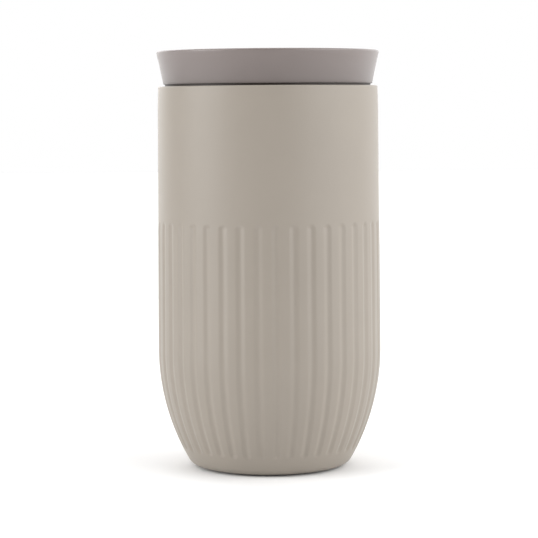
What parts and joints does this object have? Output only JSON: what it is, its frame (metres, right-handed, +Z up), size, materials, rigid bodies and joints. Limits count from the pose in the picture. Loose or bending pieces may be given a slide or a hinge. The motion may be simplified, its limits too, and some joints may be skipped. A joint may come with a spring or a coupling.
{
  "type": "insulated travel cup",
  "caption": "Fluted double-walled steel travel cup with a flared push-in lid; pressing the lid's round button opens a stopper, so it pours from any side.",
  "frame": {"origin": "middle of the base, on the surface that the cup stands on", "axes": "+Z up along the cup's own axis; the ribs are turned so that one crest points to -Y"},
  "size_m": [0.0764, 0.0764, 0.1419],
  "materials": {
    "shell_coating": "matte powder coat",
    "liner_steel": "satin stainless",
    "foil": "bright copper foil",
    "base_steel": "satin stainless",
    "pad_silicone": "matte",
    "seal_glaze": "fused glass bead",
    "getter_metal": "matte",
    "lid_plastic": "matte",
    "body_plastic": "satin",
    "gasket_silicone": "matte",
    "button_plastic": "matte",
    "core_plastic": "natural",
    "ring_silicone": "matte",
    "spring_steel": "drawn wire",
    "pin_steel": "drawn wire",
    "stopper_plastic": "satin"
  },
  "bodies": {
    "cup": {"outer_shell": "shell_coating", "inner_liner": "liner_steel", "reflector_foil": "foil", "base_disc": "base_steel", "base_pad": "pad_silicone", "vacuum_seal": "seal_glaze", "getter": "getter_metal"},
    "lid": {"lid_collar": "lid_plastic", "lid_body": "body_plastic", "lid_gasket": "gasket_silicone", "stem_o_ring": "ring_silicone", "latch_leaf": "pin_steel"},
    "button": {"button_cap": "button_plastic", "button_core": "core_plastic", "boss_o_ring": "ring_silicone", "return_spring": "spring_steel", "stopper": "stopper_plastic", "stopper_seal": "gasket_silicone", "stopper_nut": "stopper_plastic"},
    "latch": {"latch_pin": "pin_steel"}
  },
  "joints": [
    {"name": "lid_pull", "type": "slide", "parent": "cup", "child": "lid", "axis": [0, 0, 1], "range_m": [0, 0.035]},
    {"name": "button_press", "type": "slide", "parent": "lid", "child": "button", "axis": [0, 0, -1], "range_m": [0, 0.005], "stiffness_N_per_m": 600, "springref_m": -0.005, "deforming": ["return_spring"]},
    {"name": "latch_swing", "type": "hinge", "parent": "lid", "child": "latch", "pos_m": [0.0077, 0, 0.11545], "axis": [1, 0, 0], "range_deg": [0, 15.52]}
  ],
  "couplings": [
    {"joint": "latch_swing", "follows": "button_press", "rad_per_m": 53.981}
  ]
}
